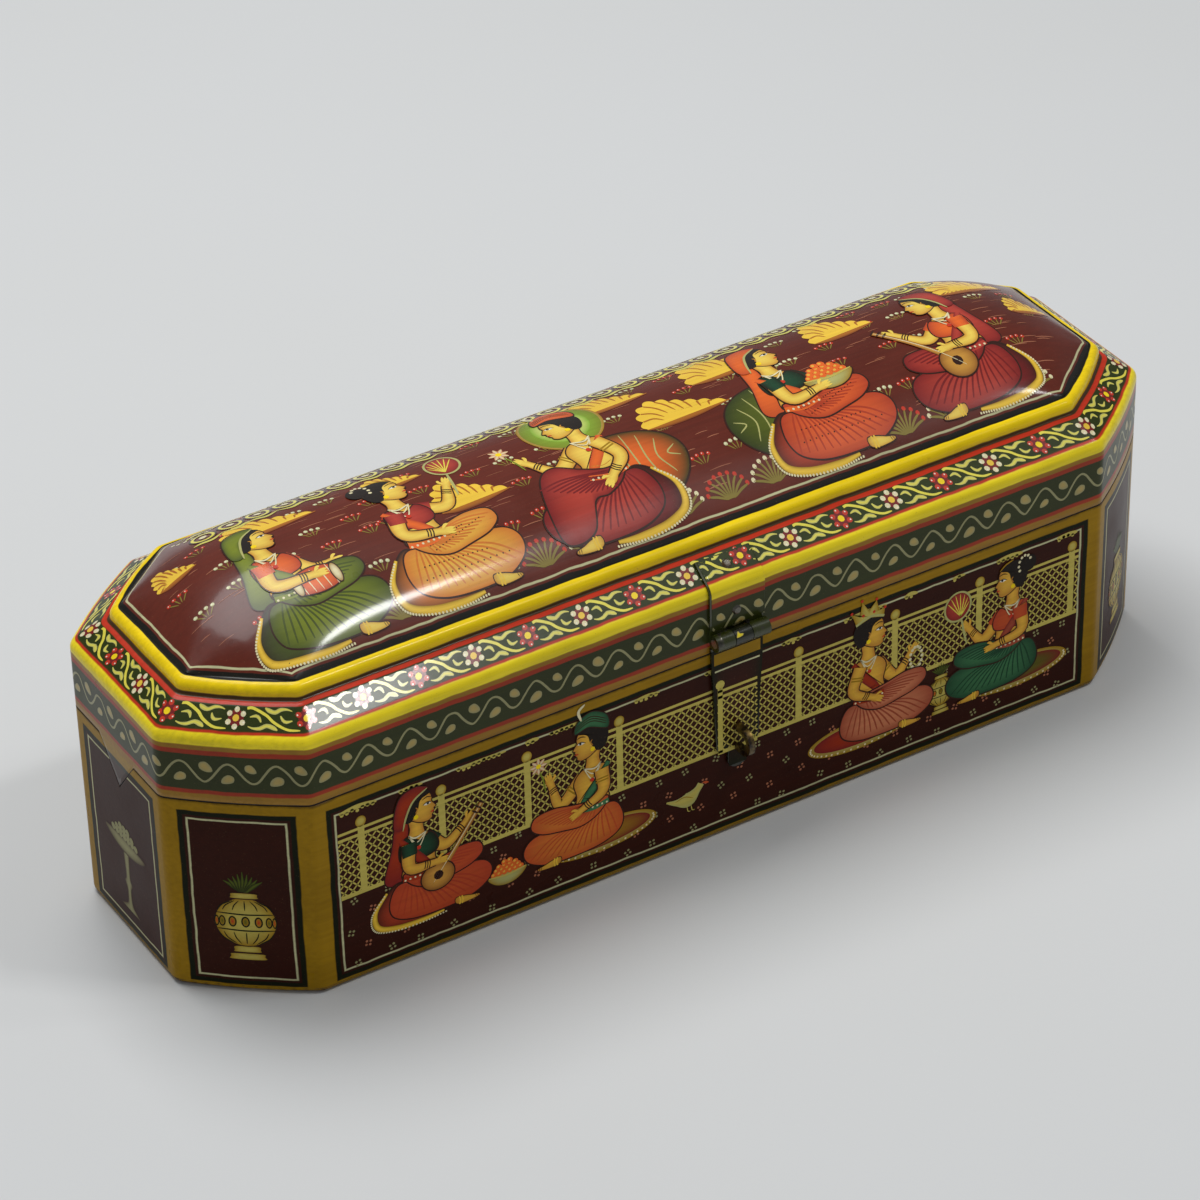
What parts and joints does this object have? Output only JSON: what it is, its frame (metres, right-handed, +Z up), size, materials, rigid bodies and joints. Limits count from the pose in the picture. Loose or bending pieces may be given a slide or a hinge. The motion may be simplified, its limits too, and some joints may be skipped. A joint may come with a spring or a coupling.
{
  "type": "wooden storage box",
  "caption": "Long eight-sided painted wooden box with a hinged, pillow-domed lid, V-keyed ends and a slotted strap hasp over a staple.",
  "frame": {"origin": "middle of the face that the box rests on", "axes": "+X along the box's length, front (hasp) towards -Y, +Z up"},
  "size_m": [0.305, 0.1092, 0.1045],
  "materials": {
    "wall_paint": "maroon-brown paint with mustard borders under gloss lacquer",
    "rail_paint": "dark green paint with tan and red lines under gloss lacquer",
    "moulding_paint": "yellow, red and green paint under gloss lacquer",
    "dome_paint": "maroon paint under thick gloss lacquer",
    "bare_wood": "plain planed wood, lightly oiled",
    "strap_metal": "sheet metal painted over with the box, worn at the edges",
    "pin_metal": "dull drawn wire",
    "nail_metal": "dull, partly painted over",
    "staple_wire": "dark, tarnished"
  },
  "bodies": {
    "box": {"front_wall": "wall_paint", "front_right_wall": "wall_paint", "right_wall": "wall_paint", "back_right_wall": "wall_paint", "back_wall": "wall_paint", "back_left_wall": "wall_paint", "left_wall": "wall_paint", "front_left_wall": "wall_paint", "bottom_board": "bare_wood", "staple": "staple_wire", "hinge_body_nails": "nail_metal", "left_hinge_body_strap": "strap_metal", "left_hinge_pin": "pin_metal", "right_hinge_body_strap": "strap_metal", "right_hinge_pin": "pin_metal"},
    "lid": {"lid_front_rail": "rail_paint", "lid_front_right_rail": "rail_paint", "lid_right_rail": "rail_paint", "lid_back_right_rail": "rail_paint", "lid_back_rail": "rail_paint", "lid_back_left_rail": "rail_paint", "lid_left_rail": "rail_paint", "lid_front_left_rail": "rail_paint", "lid_board": "moulding_paint", "lid_dome": "dome_paint", "hasp_strap": "strap_metal", "hasp_pin": "pin_metal", "lid_strap_nails": "nail_metal", "left_hinge_lid_strap": "strap_metal", "right_hinge_lid_strap": "strap_metal"},
    "hasp": {"hasp_leaf": "strap_metal"}
  },
  "joints": [
    {"name": "lid_hinge", "type": "hinge", "parent": "box", "child": "lid", "pos_m": [0, 0.05055, 0.0605], "axis": [-1, 0, 0], "range_deg": [0, 180]},
    {"name": "hasp_hinge", "type": "hinge", "parent": "lid", "child": "hasp", "pos_m": [0.004, -0.05055, 0.0652], "axis": [-1, 0, 0], "range_deg": [0, 175]}
  ]
}
